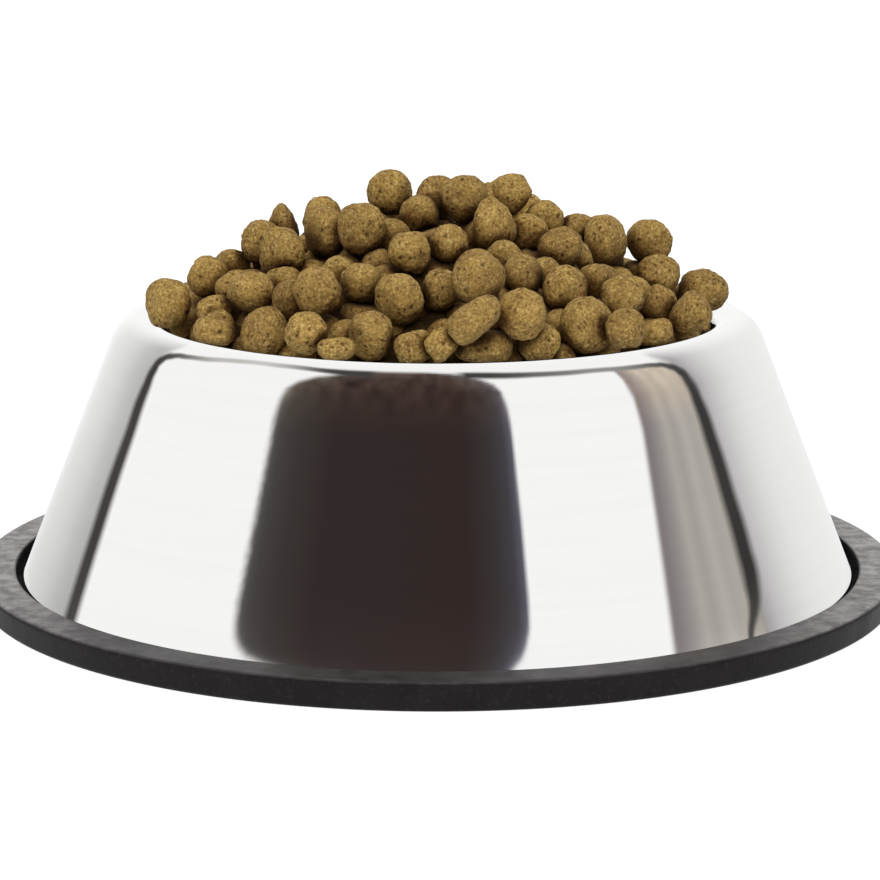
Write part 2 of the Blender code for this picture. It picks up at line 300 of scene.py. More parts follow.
def object_place(tree, scale):
    """The place on the object, in metres, stretched by a scale along each axis."""
    place = add(tree, "TexCoord")
    stretch = add(tree, "Mapping")
    stretch.inputs["Scale"].default_value = scale
    tree.links.new(place.outputs["Object"], stretch.inputs["Vector"])
    return stretch.outputs["Vector"]


def noise_of(tree, place, scale, detail=3.0, roughness=0.5):
    made = add(tree, "TexNoise")
    made.inputs["Scale"].default_value = scale
    made.inputs["Detail"].default_value = detail
    made.inputs["Roughness"].default_value = roughness
    tree.links.new(place, made.inputs["Vector"])
    return made.outputs["Fac"]


def ramp(tree, value, stops):
    """A colour for each value between the stops, given as (value, colour)."""
    made = add(tree, "ValToRGB")
    elements = made.color_ramp.elements
    while len(elements) < len(stops):
        elements.new(0.5)
    for element, (place, colour) in zip(elements, stops):
        element.position = place
        element.color = (*colour, 1.0)
    tree.links.new(value, made.inputs["Fac"])
    return made.outputs["Color"]


def level(tree, value, low, high, to_low, to_high):
    """A value between two limits, moved to two others."""
    made = add(tree, "MapRange")
    for name, number in (
        ("From Min", low),
        ("From Max", high),
        ("To Min", to_low),
        ("To Max", to_high),
    ):
        made.inputs[name].default_value = number
    tree.links.new(value, made.inputs["Value"])
    return made.outputs["Result"]


def mixed(tree, blend, share, first, second):
    """Two colours mixed. The share is a number or another node's value."""
    made = add(tree, "Mix", data_type="RGBA", blend_type=blend)
    if isinstance(share, float):
        made.inputs["Factor"].default_value = share
    else:
        tree.links.new(share, made.inputs["Factor"])
    for socket, colour in ((made.inputs[6], first), (made.inputs[7], second)):
        if isinstance(colour, tuple):
            socket.default_value = (*colour, 1.0)
        else:
            tree.links.new(colour, socket)
    return made.outputs[2]


def multiplied(tree, first, *others):
    """A value times others, each a number or another node's value."""
    for other in others:
        made = add(tree, "Math", operation="MULTIPLY")
        tree.links.new(first, made.inputs[0])
        if isinstance(other, float):
            made.inputs[1].default_value = other
        else:
            tree.links.new(other, made.inputs[1])
        first = made.outputs["Value"]
    return first


def bump(tree, height, distance, strength, after=None):
    made = add(tree, "Bump")
    made.inputs["Distance"].default_value = distance
    made.inputs["Strength"].default_value = strength
    tree.links.new(height, made.inputs["Height"])
    if after is not None:
        tree.links.new(after, made.inputs["Normal"])
    return made.outputs["Normal"]


def attribute(tree, name):
    made = add(tree, "Attribute", attribute_name=name)
    return made.outputs["Fac"]


def steel_finish():
    """Mirror-polished stainless steel, with the faint lines and clouds that polishing leaves."""
    made, tree, shader = new_material("polished_steel")
    shader.inputs["Metallic"].default_value = 1.0
    place = object_place(tree, (1.0, 1.0, 1.0))
    lines = noise_of(tree, object_place(tree, (9.0, 9.0, 700.0)), 1.0, detail=4.0)
    cloud = noise_of(tree, place, 55.0, detail=3.0)
    colour = mixed(
        tree,
        "MIX",
        level(tree, lines, 0.35, 0.7, 0.0, 1.0),
        (0.915, 0.91, 0.90),
        (0.895, 0.89, 0.88),
    )
    tree.links.new(colour, shader.inputs["Base Color"])
    tree.links.new(level(tree, cloud, 0.3, 0.7, 0.018, 0.036), shader.inputs["Roughness"])
    return made


def rubber_finish():
    """Satin black rubber, grained and scuffed, with painted sheen and dust at the top's sides and
    painted shade in its groove.
    """
    made, tree, shader = new_material("black_rubber")
    place = object_place(tree, (1.0, 1.0, 1.0))
    specks = noise_of(tree, place, 900.0, detail=4.0, roughness=0.7)
    cloud = noise_of(tree, place, 110.0, detail=4.0, roughness=0.6)
    layered = object_place(tree, (260.0, 260.0, 900.0))
    scuffs = noise_of(tree, layered, 1.0, detail=5.0, roughness=0.7)
    flat = add(tree, "Mapping")
    flat.inputs["Scale"].default_value = (1.0, 1.0, 0.0)
    tree.links.new(place, flat.inputs["Vector"])
    reach = add(tree, "VectorMath", operation="LENGTH")
    tree.links.new(flat.outputs["Vector"], reach.inputs[0])
    parts = add(tree, "SeparateXYZ")
    tree.links.new(place, parts.inputs["Vector"])
    beside = add(tree, "Math", operation="ABSOLUTE")
    tree.links.new(parts.outputs["X"], beside.inputs[0])
    on_top = level(tree, parts.outputs["Z"], RING_HEIGHT - 0.0005, RING_HEIGHT - 0.0001, 0.0, 1.0)
    # Painted sheen and dust: the top turns paler towards its left and right sides, broken up by
    # scuffs
    dust_and_sheen = multiplied(
        tree,
        on_top,
        level(tree, beside.outputs["Value"], *SHEEN_AND_DUST_FROM, 0.10, 1.0),
        level(tree, scuffs, 0.38, 0.62, 0.25, 1.0),
    )
    # Painted shade: the groove and the web in it turn near-black and lose their gloss
    painted_groove_shade = level(
        tree, reach.outputs["Value"], SHOWN_LIP_RADIUS, SHOWN_LIP_RADIUS + 0.0006, 0.02, 1.0
    )
    base = ramp(tree, cloud, [(0.3, (0.0085, 0.0070, 0.0078)), (0.7, (0.0135, 0.0115, 0.0122))])
    speckle = level(tree, specks, 0.54, 0.74, 0.0, 0.4)
    speckled = mixed(tree, "MIX", speckle, base, (0.045, 0.041, 0.041))
    dust_and_sheen_colour = mixed(tree, "MIX", multiplied(tree, dust_and_sheen, 0.9), speckled, (0.34, 0.325, 0.315))
    # Painted shade: a near-black base colour in the groove
    dark = add(tree, "Mix", data_type="RGBA", blend_type="MIX")
    dark.inputs[6].default_value = (0.0012, 0.001, 0.001, 1.0)
    tree.links.new(painted_groove_shade, dark.inputs["Factor"])
    tree.links.new(dust_and_sheen_colour, dark.inputs[7])
    tree.links.new(dark.outputs[2], shader.inputs["Base Color"])
    tree.links.new(level(tree, cloud, 0.3, 0.7, 0.40, 0.54), shader.inputs["Roughness"])
    gloss_with_painted_shade = multiplied(tree, painted_groove_shade, level(tree, on_top, 0.0, 1.0, 0.11, 0.50))
    tree.links.new(gloss_with_painted_shade, shader.inputs["Specular IOR Level"])
    grain = bump(tree, specks, 0.00012, 0.5)
    tree.links.new(bump(tree, cloud, 0.0004, 0.3, grain), shader.inputs["Normal"])
    return made


def spots(tree, place, scale, share, reach, edge):
    """Round spots of many sizes in some cells of a net: 1 in a spot and 0 outside."""
    cells = add(tree, "TexVoronoi")
    cells.inputs["Scale"].default_value = scale
    tree.links.new(place, cells.inputs["Vector"])
    chance = add(tree, "SeparateColor")
    tree.links.new(cells.outputs["Color"], chance.inputs["Color"])
    size = level(tree, chance.outputs["Red"], 1.0 - share, 1.0, 0.0, reach)
    inside = add(tree, "Math", operation="SUBTRACT")
    tree.links.new(size, inside.inputs[0])
    tree.links.new(cells.outputs["Distance"], inside.inputs[1])
    return level(tree, inside.outputs["Value"], 0.0, edge, 0.0, 1.0)


def stirred(tree, place, scale, reach):
    """A place moved about by a noise, so that what is drawn on it has uneven edges."""
    drift = add(tree, "TexNoise")
    drift.inputs["Scale"].default_value = scale
    tree.links.new(place, drift.inputs["Vector"])
    centred = add(tree, "VectorMath", operation="SUBTRACT")
    centred.inputs[1].default_value = (0.5, 0.5, 0.5)
    tree.links.new(drift.outputs["Color"], centred.inputs[0])
    moved = add(tree, "VectorMath", operation="MULTIPLY_ADD")
    moved.inputs[1].default_value = (reach, reach, reach)
    tree.links.new(centred.outputs["Vector"], moved.inputs[0])
    tree.links.new(place, moved.inputs[2])
    return moved.outputs["Vector"]


def food_finish():
    """Baked food: a golden olive crumb with pale flecks and a tone for each piece, with painted
    shade in its pits and holes and where other pieces crowd and touch it.
    """
    made, tree, shader = new_material("dry_food")
    place = object_place(tree, (1.0, 1.0, 1.0))
    uneven = stirred(tree, place, 1300.0, 0.0011)
    blotch = noise_of(tree, place, 330.0, detail=3.0, roughness=0.6)
    crumb = noise_of(tree, place, 1500.0, detail=5.0, roughness=0.75)
    pits = spots(tree, uneven, 850.0, 0.55, 0.46, 0.18)
    flecks = spots(tree, uneven, 1250.0, 0.45, 0.55, 0.20)
    base = ramp(
        tree,
        crumb,
        [
            (0.33, (0.105, 0.058, 0.017)),
            (0.44, (0.240, 0.150, 0.044)),
            (0.55, (0.350, 0.236, 0.074)),
            (0.67, (0.560, 0.415, 0.155)),
        ],
    )
    cloud = ramp(tree, blotch, [(0.3, (0.76, 0.70, 0.66)), (0.7, (1.14, 1.12, 1.04))])
    cloudy = mixed(tree, "MULTIPLY", 0.9, base, cloud)
    light = mixed(tree, "MIX", level(tree, flecks, 0.0, 1.0, 0.0, 0.38), cloudy, (0.68, 0.53, 0.25))
    # Painted shade in the pits that the bump below sinks
    pit_shaded = mixed(tree, "MIX", level(tree, pits, 0.0, 1.0, 0.0, 0.8), light, (0.075, 0.030, 0.010))
    tone = ramp(
        tree, attribute(tree, "tone"), [(0.0, (0.80, 0.77, 0.78)), (1.0, (1.12, 1.12, 1.10))]
    )
    toned = mixed(tree, "MULTIPLY", 1.0, pit_shaded, tone)
    # Painted shade in the holes of a piece's surface, by how deep each point lies in one
    hollow = mixed(tree, "MIX", attribute(tree, "hollow"), toned, (0.050, 0.024, 0.009))
    # Painted shade from the neighbouring pieces, darkest where they touch, and a little painted
    # light where a piece is most open
    shade = ramp(
        tree,
        attribute(tree, "open"),
        [
            (0.05, (0.02, 0.012, 0.01)),
            (0.45, (0.30, 0.235, 0.20)),
            (0.70, (0.80, 0.76, 0.72)),
            (0.90, (1.07, 1.07, 1.06)),
        ],
    )
    shaded = mixed(tree, "MULTIPLY", 1.0, hollow, shade)
    tree.links.new(shaded, shader.inputs["Base Color"])
    shader.inputs["Roughness"].default_value = 0.88
    # Less gloss where the painted shade falls
    gloss_with_painted_shade = multiplied(tree, attribute(tree, "open"), 0.24)
    tree.links.new(gloss_with_painted_shade, shader.inputs["Specular IOR Level"])
    sunk = bump(tree, level(tree, pits, 0.0, 1.0, 1.0, 0.0), 0.00016, 0.9)
    raised = bump(tree, flecks, 0.00006, 0.8, sunk)
    tree.links.new(bump(tree, crumb, 0.00030, 0.9, raised), shader.inputs["Normal"])
    return made


def bed_finish():
    """The food under the outer pieces, which lies in their shade: coloured near-black and without
    gloss as painted shade.
    """
    made, tree, shader = new_material("food_in_painted_shade")
    place = object_place(tree, (1.0, 1.0, 1.0))
    crumb = noise_of(tree, place, 900.0, detail=4.0, roughness=0.65)
    colour = ramp(tree, crumb, [(0.3, (0.012, 0.007, 0.003)), (0.7, (0.040, 0.024, 0.010))])
    tree.links.new(colour, shader.inputs["Base Color"])
    shader.inputs["Roughness"].default_value = 0.9
    shader.inputs["Specular IOR Level"].default_value = 0.0
    tree.links.new(bump(tree, crumb, 0.0004, 0.8), shader.inputs["Normal"])
    return made


# Turned pieces


def arc(centre, radius, start, end, steps):
    """Points round a centre in the radius and height plane, from one angle to another."""
    points = []
    for i in range(steps + 1):
        angle = start + (end - start) * i / steps
        points.append((centre[0] + radius * math.cos(angle), centre[1] + radius * math.sin(angle)))
    return points


def between(first, last, steps):
    """Points on the straight line between two, without them."""
    points = []
    for i in range(1, steps):
        share = i / steps
        points.append(
            (first[0] + (last[0] - first[0]) * share, first[1] + (last[1] - first[1]) * share)
        )
    return points


def turned(name, profile, closed, finish):
    """A profile of radius and height points, turned about the bowl's axis."""
    mesh = bpy.data.meshes.new(name)
    edges = [(i, i + 1) for i in range(len(profile) - 1)]
    if closed:
        edges.append((len(profile) - 1, 0))
    mesh.from_pydata([(r, 0.0, z) for r, z in profile], edges, [])
    mesh.materials.append(finish)
    made = in_scene(name, mesh)
    screw = made.modifiers.new("turn", "SCREW")
    screw.axis = "Z"
    screw.angle = 2 * math.pi
    screw.steps = ROUND
    screw.render_steps = ROUND
    screw.use_merge_vertices = True
    screw.merge_threshold = 0.00001
    screw.use_smooth_shade = True
    return made


def polished_bowl(finish):
    """The sheet's upper and outer face, from the dish's middle over the rim to the foot flange."""
    rim_low = BOWL_HEIGHT - RIM_INSIDE
    wall_radius = RIM_RADIUS - RIM_INSIDE * math.cos(DISH_DRAFT)
    wall_height = rim_low + RIM_INSIDE * math.sin(DISH_DRAFT) - DISH_FLOOR - DISH_FILLET
    fillet_radius = wall_radius - (DISH_FILLET + wall_height * math.sin(DISH_DRAFT)) / math.cos(
        DISH_DRAFT
    )
    fillet = arc(
        (fillet_radius, DISH_FLOOR + DISH_FILLET), DISH_FILLET, -math.pi / 2, -DISH_DRAFT, 12
    )
    rim_in = arc((RIM_RADIUS, rim_low), RIM_INSIDE, math.pi - DISH_DRAFT, math.pi / 2, 20)
    rim_out = arc((RIM_RADIUS, BOWL_HEIGHT - RIM_OUTSIDE), RIM_OUTSIDE, math.pi / 2, FLARE, 72)
    bend_radius = SKIRT_FOOT_RADIUS - FOOT_BEND * math.tan(FLARE) + FOOT_BEND / math.cos(FLARE)
    bend = arc(
        (bend_radius, FLANGE_TOP + FOOT_BEND), FOOT_BEND, math.pi + FLARE, 1.5 * math.pi, 8
    )
    profile = [(0.0, DISH_FLOOR)] + between((0.0, DISH_FLOOR), fillet[0], 4) + fillet
    profile += between(fillet[-1], rim_in[0], 8) + rim_in + rim_out[1:]
    down = (NUDGE * math.sin(FLARE), NUDGE * math.cos(FLARE))
    side = (rim_out[-1][0] + down[0], rim_out[-1][1] - down[1])
    foot = (bend[0][0] - down[0], bend[0][1] + down[1])
    profile += [side] + between(side, foot, 12) + [foot]
    profile += bend + [(FLANGE_RADIUS, FLANGE_TOP)]
    bowl = turned("polished_bowl", profile, False, finish)
    sheet = bowl.modifiers.new("sheet", "SOLIDIFY")
    sheet.thickness = SHEET
    sheet.offset = -1.0
    sheet.use_even_offset = True
    return bowl


def foot_ring(finish):
    slot_radius = FLANGE_RADIUS + FIT
    slot_top = FLANGE_TOP + FIT
    profile = [(slot_radius, slot_top), (SHOWN_LIP_RADIUS, slot_top)]
    profile += [(WEB_RADIUS + 0.0013, slot_top), (WEB_RADIUS, slot_top + WEB * 0.8)]
    profile += [(WEB_RADIUS, slot_top + WEB), (SHOWN_LIP_RADIUS, slot_top + WEB)]
    lip = (SHOWN_LIP_RADIUS + RING_CORNER, RING_HEIGHT - RING_CORNER)
    profile += arc(lip, RING_CORNER, math.pi, math.pi / 2, 6)
    shoulder = (RING_RADIUS + RING_SWELL - RING_EDGE, RING_HEIGHT - RING_EDGE)
    top_start = profile[-1]
    rim = arc(shoulder, RING_EDGE, math.pi / 2, 0.0, 10)
    profile += between(top_start, rim[0], 12) + rim
    foot = arc((RING_RADIUS - RING_EDGE, RING_EDGE), RING_EDGE, 0.0, -math.pi / 2, 10)
    profile += between(rim[-1], foot[0], 8) + foot
    profile += between(foot[-1], (PAD_INNER_RADIUS, 0.0), 8)
    corner = PAD_INNER_RADIUS + RING_CORNER
    profile += arc((corner, RING_CORNER), RING_CORNER, -math.pi / 2, -math.pi, 4)
    profile += arc((corner, PAD - RING_CORNER), RING_CORNER, math.pi, math.pi / 2, 4)
    profile += [(slot_radius - RING_CORNER, PAD), (slot_radius, PAD)]
    return turned("foot_ring", profile, True, finish)


# Pieces of food


def ball_net(cuts):
    """Directions of the corners and the faces of a cube's net that is blown up to a ball."""
    work = bmesh.new()
    bmesh.ops.create_cube(work, size=2.0)
    bmesh.ops.subdivide_edges(work, edges=list(work.edges), cuts=cuts, use_grid_fill=True)
    directions = []
    for corner in work.verts:
        warped = Vector([math.tan(number * math.pi / 4) for number in corner.co])
        directions.append(warped.normalized())
    faces = [tuple(corner.index for corner in face.verts) for face in work.faces]
    work.free()
    return directions, faces


def pillow(directions, length, thickness, fullness):
    """Where directions meet a flattened ball with full shoulders."""
    flat = np.hypot(directions[:, 0], directions[:, 1])
    swell = (flat**fullness + np.abs(directions[:, 2]) ** fullness) ** (-1 / fullness)
    return directions * swell[:, None] * np.array((length, length, thickness)) / 2


def dented(points, length, narrow, draw):
    """A pillow made narrower at one end, and pressed flat in a few places."""
    end, share = narrow
    along = points @ np.array(end)
    middle = along[:, None] * np.array(end)
    points = middle + (points - middle) * (1.0 - share * (along * 2 / length + 0.25))[:, None]
    for _ in range(DENTS):
        side = draw.uniform(0, 2 * math.pi)
        tilt = draw.uniform(-DENT_TILT, DENT_TILT)
        press = np.array(
            (math.cos(side) * math.cos(tilt), math.sin(side) * math.cos(tilt), math.sin(tilt))
        )
        reach = points @ press
        limit = reach.max() * (1.0 - draw.uniform(*DENT_DEPTH))
        points = points - np.maximum(reach - limit, 0.0)[:, None] * press * DENT_PRESS
    return points


def crumbly(point, direction, apart):
    """A point of a piece's surface, uneven, and how deep in a hole it lies."""
    where = point + apart
    rise = noise.noise(where / LUMP_SIZE) * LUMP_HEIGHT
    rise += noise.noise(where / KNOB_SIZE) * KNOB_HEIGHT
    rise += noise.noise(where / GRAIN_SIZE) * GRAIN_HEIGHT
    spacing, centres = noise.voronoi(where / HOLE_SPACING)
    hole = 0.0
    if noise.cell(centres[0] * 7.3) > 0.0:
        hole = max(0.0, 1.0 - spacing[0] / HOLE_REACH)
    return point + direction * (rise - hole * HOLE_DEPTH), min(1.0, hole * 1.4)


class Food:
    """Meshes of pieces of food, gathered into one object."""

    def __init__(self, crowd):
        self.crowd = crowd
        self.points = []
        self.faces = []
        self.tones = []
        self.hollows = []
        self.opens = []

    def put(self, net, place, turn, length, thickness, draw, narrow=None):
        directions, faces = net
        first = len(self.points)
        form = pillow(np.array(directions), length, thickness, draw.uniform(*FULLNESS))
        side = draw.uniform(0, 2 * math.pi)
        chance = ((math.cos(side), math.sin(side), 0.0), draw.uniform(0, EGG))
        form = dented(form, length, narrow or chance, draw)
        tone = draw.random()
        apart = Vector((draw.uniform(0, 1), draw.uniform(0, 1), draw.uniform(0, 1)))
        placed = []
        for point, direction in zip(form, directions):
            point, hollow = crumbly(Vector(point), direction, apart)
            placed.append(place + turn @ point)
            self.hollows.append(hollow)
            self.tones.append(tone)
        self.points += placed
        outward = np.array(directions) @ np.array(turn).T
        self.opens += list(self.crowd.openness(np.array(placed), outward, place))
        self.faces += [tuple(first + i for i in face) for face in faces]

    def finish(self, name, finish):
        mesh = bpy.data.meshes.new(name)
        mesh.from_pydata(self.points, [], self.faces)
        mesh.materials.append(finish)
        mesh.polygons.foreach_set("use_smooth", [True] * len(self.faces))
        for label, values in (("tone", self.tones), ("hollow", self.hollows), ("open", self.opens)):
            layer = mesh.attributes.new(label, "FLOAT", "POINT")
            layer.data.foreach_set("value", values)
        made = in_scene(name, mesh)
        made.visible_glossy = False
        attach(made, BODY)
        return made


class Crowd:
    """The pieces of food that shade each other, as balls."""

    def __init__(self, balls):
        self.centres = np.array([tuple(place) for place, _ in balls])
        self.radii = np.array([radius for _, radius in balls])

    def openness(self, points, outward, own):
        """The share of the sky that each point keeps, between the pieces round its own."""
        apart = np.linalg.norm(self.centres - np.array(own), axis=1)
        near = (apart > 0.0001) & (apart < SHADE_REACH * KIBBLE_DIAMETER)
        kept = np.ones(len(points))
        for centre, radius in zip(self.centres[near], self.radii[near]):
            gap = centre - points
            distance = np.linalg.norm(gap, axis=1)
            facing = (gap * outward).sum(1) / distance
            kept *= 1.0 - np.clip(facing, 0.0, 1.0) * np.minimum(radius / distance, 1.0) ** 2
            # Painted shade where the point nears a neighbour's surface
            touch = np.exp(-np.maximum(distance - radius, 0.0) / TOUCH_REACH)
            kept *= 1.0 - TOUCH_SHADE * np.clip(facing + 0.2, 0.0, 1.0) * touch
        return kept


def measured(node):
    """Centre, turn, length and thickness of a piece of food, from its solid."""
    points = np.array([corner.co for corner in node.data.vertices])
    centre = (points.min(0) + points.max(0)) / 2
    axes = np.linalg.eigh(np.cov((points - centre).T))[1]
    normal = Vector(axes[:, 0])
    along = Vector(axes[:, 2])
    turn = Matrix((along, normal.cross(along), normal)).transposed()
    own = (points - centre) @ np.array(turn)
    spans = own.max(0) - own.min(0)
    return Vector(centre), turn, float(spans[0] + spans[1]) / 2, float(spans[2])


def loose_names(nodes):
    return sorted(name for name in nodes if name.startswith("kibble_") and name != "kibble_bed")


def loose_pieces(nodes, crowd, finish, draw):
    """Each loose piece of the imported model, with its real surface."""
    net = ball_net(LOOSE_CUTS)
    for name in loose_names(nodes):
        place, turn, length, thickness = measured(nodes[name])
        narrow = None
        if name in NARROW_ENDS:
            angle, share = NARROW_ENDS[name]
            shown = Vector((math.cos(math.radians(angle)), 0.0, math.sin(math.radians(angle))))
            narrow = (tuple(turn.transposed() @ shown), share)
        food = Food(crowd)
        food.put(net, place, turn, length, thickness, draw, narrow)
        made = food.finish(name.replace("kibble", "food"), finish)
        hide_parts(name)


def heap_height(radius):
    share = min(radius / HEAP_RADIUS, 1.0)
    return BOWL_HEIGHT + HEAP_RISE * (1.0 - share**HEAP_SHAPE)


def node_tree(node):
    points = [corner.co for corner in node.data.vertices]
    return BVHTree.FromPolygons(points, [tuple(face.vertices) for face in node.data.polygons])


class Body:
    """A piece's plain shape, which tests where it may lie."""

    net = ball_net(TEST_CUTS)

    def __init__(self, turn, length, thickness):
        self.turn = turn
        self.length = length
        self.thickness = thickness
        grown = 2 * FIT
        form = pillow(
            np.array(self.net[0]), length + grown, thickness + grown, sum(FULLNESS) / 2
        )
        self.points = [turn @ Vector(point) for point in form]

    def is_free(self, place, trees):
        tree = BVHTree.FromPolygons([place + point for point in self.points], self.net[1])
        return not any(tree.overlap(other) for other in trees)


def tumbled(draw, most_tip):
    """A turn of a piece that lies on the heap, tipped by a chance angle."""
    spin = Matrix.Rotation(draw.uniform(0, 2 * math.pi), 3, "Z")
    tip = Matrix.Rotation(draw.uniform(0.0, most_tip), 3, "X")
    return Matrix.Rotation(draw.uniform(0, 2 * math.pi), 3, "Z") @ tip @ spin


def on_heap(reach, angle, sink):
    height = heap_height(reach) - BED_DEPTH + KIBBLE_THICKNESS / 2 - sink
    return Vector((reach * math.cos(angle), reach * math.sin(angle), height))


def back_places(bowl_tree):
    """The courses of pieces round the back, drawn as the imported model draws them."""
    draw = random.Random(7)
    places = []
    pitch = KIBBLE_DIAMETER * COURSE_PITCH
    radius = HEAP_RADIUS - KIBBLE_DIAMETER * COURSE_EDGE
    while radius > BACK_START:
        side = math.asin(BACK_START / radius)
        sweep = math.pi - 2 * side
        count = max(round(sweep * radius / pitch), 1)
        for i in range(count):
            angle = side + sweep * (i + 0.5 + draw.uniform(-COURSE_DRIFT, COURSE_DRIFT)) / count
            reach = radius + draw.uniform(-COURSE_WANDER, COURSE_WANDER) * pitch
            turn = tumbled(draw, COURSE_TIP)
            length = KIBBLE_DIAMETER * draw.uniform(*COURSE_LENGTHS)
            for _ in range(FUSED_CORNERS):
                draw.random()
            body = Body(turn, length, KIBBLE_THICKNESS)
            while not body.is_free(on_heap(reach, angle, BITE), [bowl_tree]):
                reach -= STEP
            places.append((on_heap(reach, angle, BITE), body))
        radius -= pitch * COURSE_STEP
    return places


def fill_places(bowl_tree, loose_trees, taken, draw):
    """The props, and places on the bed's bare front, as high as each piece fits there."""
    golden = math.pi * (3 - math.sqrt(5))
    near = KIBBLE_DIAMETER * FILL_APART
    places = []
    for place in PROPS:
        body = Body(tumbled(draw, PROP_TIP), KIBBLE_DIAMETER, KIBBLE_THICKNESS)
        places.append((Vector(place), body))
        taken.append(Vector(place))
    for i in range(FILL_PLACES):
        reach = (HEAP_RADIUS - KIBBLE_DIAMETER * FILL_EDGE) * math.sqrt((i + 0.5) / FILL_PLACES)
        angle = i * golden
        turn = tumbled(draw, FILL_TIP)
        length = KIBBLE_DIAMETER * draw.uniform(*FILL_LENGTHS)
        thickness = KIBBLE_THICKNESS * FILL_THICKNESS
        body = Body(turn, length * FILL_SHARE, thickness * FILL_SHARE)
        body.length, body.thickness = length, thickness
        sink = FILL_SINK[0]
        while sink <= FILL_SINK[1]:
            place = on_heap(reach, angle, sink)
            clear = all((place - other).length > near for other in taken)
            if clear and body.is_free(place, [bowl_tree] + loose_trees):
                places.append((place, body))
                taken.append(place)
                break
            sink += STEP
    return places


def fused_pieces(name, places, crowd, finish, draw):
    net = ball_net(FUSED_CUTS)
    food = Food(crowd)
    for place, body in places:
        food.put(net, place, body.turn, body.length, body.thickness, draw)
    made = food.finish(name, finish)
    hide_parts("kibble_bed")


def bed(finish):
    """The food under the outer pieces: a lumpy crown, and plain where the dish holds it."""
    edge = HEAP_RADIUS - KIBBLE_DIAMETER * BED_EDGE
    foot = BED_FOOT * edge
    floor = DISH_FLOOR + FIT
    points = [Vector((0.0, 0.0, heap_height(0.0) - BED_DEPTH))]
    faces = []
    for ring in range(1, BED_RINGS + 1):
        reach = edge * ring / BED_RINGS
        for i in range(BED_ROUND):
            angle = 2 * math.pi * i / BED_ROUND
            place = Vector((reach * math.cos(angle), reach * math.sin(angle), 0.0))
            gap = noise.voronoi(place / BED_LUMP)[0][0]
            lump = BED_LUMP_HEIGHT * (0.5 - min(gap, 1.0)) * (1.0 - (ring / BED_RINGS) ** 8)
            place.z = heap_height(reach) - BED_DEPTH + lump
            points.append(place)
    outer = len(points) - BED_ROUND
    for i in range(BED_ROUND):
        faces.append((0, 1 + i, 1 + (i + 1) % BED_ROUND))
    for ring in range(BED_RINGS - 1):
        start = 1 + ring * BED_ROUND
        for i in range(BED_ROUND):
            j = (i + 1) % BED_ROUND
            faces.append((start + i, start + BED_ROUND + i, start + BED_ROUND + j, start + j))
    below = len(points)
    for i in range(BED_ROUND):
        angle = 2 * math.pi * i / BED_ROUND
        points.append(Vector((foot * math.cos(angle), foot * math.sin(angle), floor)))
    for i in range(BED_ROUND):
        j = (i + 1) % BED_ROUND
        faces.append((outer + i, below + i, below + j, outer + j))
    faces.append(tuple(below + i for i in reversed(range(BED_ROUND))))
    mesh = bpy.data.meshes.new("heap_bed")
    mesh.from_pydata(points, [], faces)
    mesh.materials.append(finish)
    mesh.polygons.foreach_set("use_smooth", [True] * len(faces))
    made = in_scene("heap_bed", mesh)
    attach(made, BODY)
    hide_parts("kibble_bed")


# Studio


def outer_face(turn, climb):
    """A point of the bowl's outer face and its normal: degrees round it, and metres up its side."""
    rise = FLARE + max(climb - SKIRT_LENGTH, 0.0) / RIM_OUTSIDE
    below = max(SKIRT_LENGTH - climb, 0.0)
    radius = RIM_RADIUS + RIM_OUTSIDE * math.cos(rise) + below * math.sin(FLARE)
    height = BOWL_HEIGHT - RIM_OUTSIDE * (1 - math.sin(rise)) - below * math.cos(FLARE)
    around = math.radians(turn)
    out = Vector((math.sin(around), -math.cos(around), 0.0))
    up = Vector((0.0, 0.0, 1.0))
    return out * radius + up * height, out * math.cos(rise) + up * math.sin(rise)


def mirrored(turn, climb, distance):
    """Where the camera's ray lands once the bowl's outer face has mirrored it."""
    point, normal = outer_face(turn, climb)
    ray = (point - Vector(CAMERA_PLACE)).normalized()
    return point + (ray - 2 * ray.dot(normal) * normal) * distance


def grey(level_of, warmth=0.0):
    return (level_of * (1 + warmth), level_of, level_of * (1 - warmth))


def between_stops(stops, share):
    """The colour at a share, from stops of a share and a colour."""
    places = [stop[0] for stop in stops]
    values = np.array([stop[1] for stop in stops], dtype=float)
    return tuple(float(np.interp(share, places, values[:, i])) for i in range(3))


def card(name, rows, shades):
    """A card that only reflections show, from rows of points with a colour and a solidity each."""
    across = len(rows[0])
    faces = []
    for j in range(len(rows) - 1):
        for i in range(across - 1):
            start = j * across + i
            faces.append((start, start + 1, start + across + 1, start + across))
    mesh = bpy.data.meshes.new(name)
    mesh.from_pydata([point for row in rows for point in row], [], faces)
    layer = mesh.color_attributes.new("shade", "FLOAT_COLOR", "POINT")
    layer.data.foreach_set("color", [number for row in shades for shade in row for number in shade])
    made, tree = bare_material(name)
    shade = add(tree, "Attribute", attribute_name="shade")
    glow = add(tree, "Emission")
    clear = add(tree, "BsdfTransparent")
    tree.links.new(shade.outputs["Color"], glow.inputs["Color"])
    end_with(
        tree,
        "OutputMaterial",
        shade.outputs["Alpha"],
        clear.outputs["BSDF"],
        glow.outputs["Emission"],
    )
    mesh.materials.append(made)
    obj = in_scene(name, mesh)
    for ray in ("camera", "diffuse", "shadow", "transmission", "volume_scatter"):
        setattr(obj, "visible_" + ray, False)


